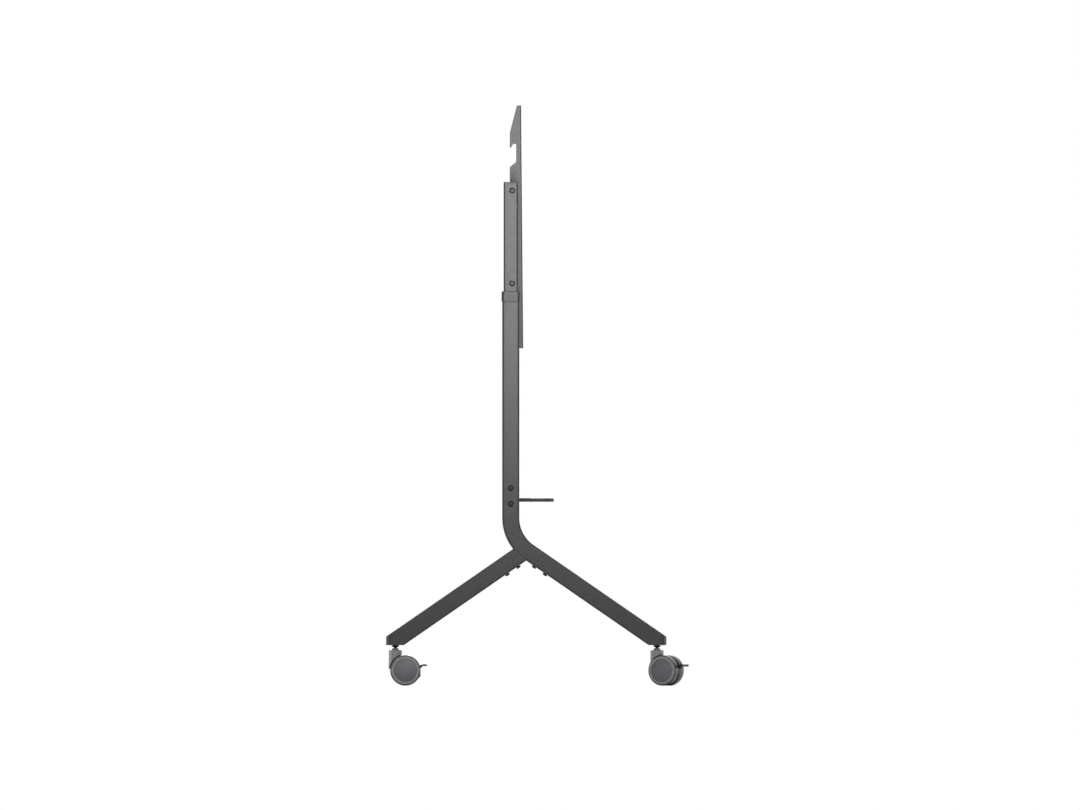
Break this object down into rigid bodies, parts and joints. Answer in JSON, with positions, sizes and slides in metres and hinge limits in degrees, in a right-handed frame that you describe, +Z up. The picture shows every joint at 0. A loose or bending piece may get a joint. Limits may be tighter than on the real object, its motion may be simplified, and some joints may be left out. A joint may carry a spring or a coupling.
{
  "type": "mobile display floor stand",
  "caption": "Height-adjustable floor stand on four braked twin-wheel casters, with bent posts, splayed legs, a shelf, telescopic tubes and hooked display arms.",
  "frame": {"origin": "on the floor, under the centre of the stand's outline", "axes": "+Z up, -Y towards the front, where the display faces, and -X towards the stand's left side as seen from the front"},
  "size_m": [0.7796, 0.7392, 1.4159],
  "materials": {
    "powder_coated_steel": "fine matt powder coat, dark grey",
    "black_zinc_steel": "black plated steel, satin",
    "collar_nylon": "moulded, fine grain, dark grey",
    "caster_nylon": "moulded, satin, grey",
    "wheel_polyurethane": "moulded, smooth, grey"
  },
  "bodies": {
    "base": {"post_leg_left": "powder_coated_steel", "post_leg_right": "powder_coated_steel", "rear_leg_left": "powder_coated_steel", "rear_leg_right": "powder_coated_steel", "collar_left": "collar_nylon", "collar_right": "collar_nylon", "apex_bracket_left": "black_zinc_steel", "apex_bracket_right": "black_zinc_steel", "leg_end_front_left": "powder_coated_steel", "leg_end_front_right": "powder_coated_steel", "leg_end_rear_left": "powder_coated_steel", "leg_end_rear_right": "powder_coated_steel", "crossbar": "powder_coated_steel", "shelf": "powder_coated_steel", "crossbar_bolt_upper_left": "black_zinc_steel", "crossbar_bolt_upper_right": "black_zinc_steel", "crossbar_bolt_lower_left": "black_zinc_steel", "crossbar_bolt_lower_right": "black_zinc_steel", "leg_screw_front_upper_left": "black_zinc_steel", "leg_screw_front_upper_right": "black_zinc_steel", "leg_screw_front_lower_left": "black_zinc_steel", "leg_screw_front_lower_right": "black_zinc_steel", "leg_screw_rear_upper_left": "black_zinc_steel", "leg_screw_rear_upper_right": "black_zinc_steel", "leg_screw_rear_lower_left": "black_zinc_steel", "leg_screw_rear_lower_right": "black_zinc_steel", "clamp_screw_left": "black_zinc_steel", "clamp_screw_right": "black_zinc_steel", "caster_stem_front_left": "black_zinc_steel", "caster_stem_front_right": "black_zinc_steel", "caster_stem_rear_left": "black_zinc_steel", "caster_stem_rear_right": "black_zinc_steel"},
    "lift": {"inner_tube_left": "powder_coated_steel", "inner_tube_right": "powder_coated_steel", "tube_cap_left": "collar_nylon", "tube_cap_right": "collar_nylon", "upper_rail": "powder_coated_steel", "lower_rail": "powder_coated_steel", "rail_bolt_upper_left": "black_zinc_steel", "rail_bolt_upper_right": "black_zinc_steel", "rail_bolt_lower_left": "black_zinc_steel", "rail_bolt_lower_right": "black_zinc_steel"},
    "arm_left": {"display_arm_left": "powder_coated_steel"},
    "arm_right": {"display_arm_right": "powder_coated_steel"},
    "caster_front_left": {"caster_housing_front_left": "caster_nylon"},
    "wheel_front_left_left": {"caster_wheel_front_left_left": "wheel_polyurethane"},
    "wheel_front_left_right": {"caster_wheel_front_left_right": "wheel_polyurethane"},
    "pedal_front_left": {"brake_pedal_front_left": "black_zinc_steel"},
    "caster_front_right": {"caster_housing_front_right": "caster_nylon"},
    "wheel_front_right_left": {"caster_wheel_front_right_left": "wheel_polyurethane"},
    "wheel_front_right_right": {"caster_wheel_front_right_right": "wheel_polyurethane"},
    "pedal_front_right": {"brake_pedal_front_right": "black_zinc_steel"},
    "caster_rear_left": {"caster_housing_rear_left": "caster_nylon"},
    "wheel_rear_left_left": {"caster_wheel_rear_left_left": "wheel_polyurethane"},
    "wheel_rear_left_right": {"caster_wheel_rear_left_right": "wheel_polyurethane"},
    "pedal_rear_left": {"brake_pedal_rear_left": "black_zinc_steel"},
    "caster_rear_right": {"caster_housing_rear_right": "caster_nylon"},
    "wheel_rear_right_left": {"caster_wheel_rear_right_left": "wheel_polyurethane"},
    "wheel_rear_right_right": {"caster_wheel_rear_right_right": "wheel_polyurethane"},
    "pedal_rear_right": {"brake_pedal_rear_right": "black_zinc_steel"}
  },
  "joints": [
    {"name": "height_slide", "type": "slide", "parent": "base", "child": "lift", "axis": [0, 0, 1], "range_m": [0, 0.25]},
    {"name": "arm_slide_left", "type": "slide", "parent": "lift", "child": "arm_left", "axis": [1, 0, 0], "range_m": [-0.1, 0.1]},
    {"name": "arm_slide_right", "type": "slide", "parent": "lift", "child": "arm_right", "axis": [1, 0, 0], "range_m": [-0.1, 0.1]},
    {"name": "swivel_front_left", "type": "hinge", "parent": "base", "child": "caster_front_left", "pos_m": [-0.34, -0.29179, 0.085], "axis": [0, 0, 1], "continuous": true},
    {"name": "roll_front_left_left", "type": "hinge", "parent": "caster_front_left", "child": "wheel_front_left_left", "pos_m": [-0.35027, -0.31381, 0.03718], "axis": [0.9063, -0.4226, 0], "continuous": true},
    {"name": "roll_front_left_right", "type": "hinge", "parent": "caster_front_left", "child": "wheel_front_left_right", "pos_m": [-0.35027, -0.31381, 0.03718], "axis": [0.9063, -0.4226, 0], "continuous": true},
    {"name": "brake_front_left", "type": "hinge", "parent": "caster_front_left", "child": "pedal_front_left", "pos_m": [-0.36409, -0.34345, 0.046], "axis": [0.9063, -0.4226, 0], "range_deg": [0, 12]},
    {"name": "swivel_front_right", "type": "hinge", "parent": "base", "child": "caster_front_right", "pos_m": [0.34, -0.29179, 0.085], "axis": [0, 0, 1], "continuous": true},
    {"name": "roll_front_right_left", "type": "hinge", "parent": "caster_front_right", "child": "wheel_front_right_left", "pos_m": [0.35027, -0.31381, 0.03718], "axis": [0.9063, 0.4226, 0], "continuous": true},
    {"name": "roll_front_right_right", "type": "hinge", "parent": "caster_front_right", "child": "wheel_front_right_right", "pos_m": [0.35027, -0.31381, 0.03718], "axis": [0.9063, 0.4226, 0], "continuous": true},
    {"name": "brake_front_right", "type": "hinge", "parent": "caster_front_right", "child": "pedal_front_right", "pos_m": [0.36409, -0.34345, 0.046], "axis": [0.9063, 0.4226, 0], "range_deg": [0, 12]},
    {"name": "swivel_rear_left", "type": "hinge", "parent": "base", "child": "caster_rear_left", "pos_m": [-0.34, 0.34661, 0.085], "axis": [0, 0, 1], "continuous": true},
    {"name": "roll_rear_left_left", "type": "hinge", "parent": "caster_rear_left", "child": "wheel_rear_left_left", "pos_m": [-0.34, 0.32231, 0.03718], "axis": [1, 0, 0], "continuous": true},
    {"name": "roll_rear_left_right", "type": "hinge", "parent": "caster_rear_left", "child": "wheel_rear_left_right", "pos_m": [-0.34, 0.32231, 0.03718], "axis": [1, 0, 0], "continuous": true},
    {"name": "brake_rear_left", "type": "hinge", "parent": "caster_rear_left", "child": "pedal_rear_left", "pos_m": [-0.34, 0.28961, 0.046], "axis": [1, 0, 0], "range_deg": [0, 12]},
    {"name": "swivel_rear_right", "type": "hinge", "parent": "base", "child": "caster_rear_right", "pos_m": [0.34, 0.34661, 0.085], "axis": [0, 0, 1], "continuous": true},
    {"name": "roll_rear_right_left", "type": "hinge", "parent": "caster_rear_right", "child": "wheel_rear_right_left", "pos_m": [0.34, 0.32231, 0.03718], "axis": [1, 0, 0], "continuous": true},
    {"name": "roll_rear_right_right", "type": "hinge", "parent": "caster_rear_right", "child": "wheel_rear_right_right", "pos_m": [0.34, 0.32231, 0.03718], "axis": [1, 0, 0], "continuous": true},
    {"name": "brake_rear_right", "type": "hinge", "parent": "caster_rear_right", "child": "pedal_rear_right", "pos_m": [0.34, 0.28961, 0.046], "axis": [1, 0, 0], "range_deg": [0, 12]}
  ]
}
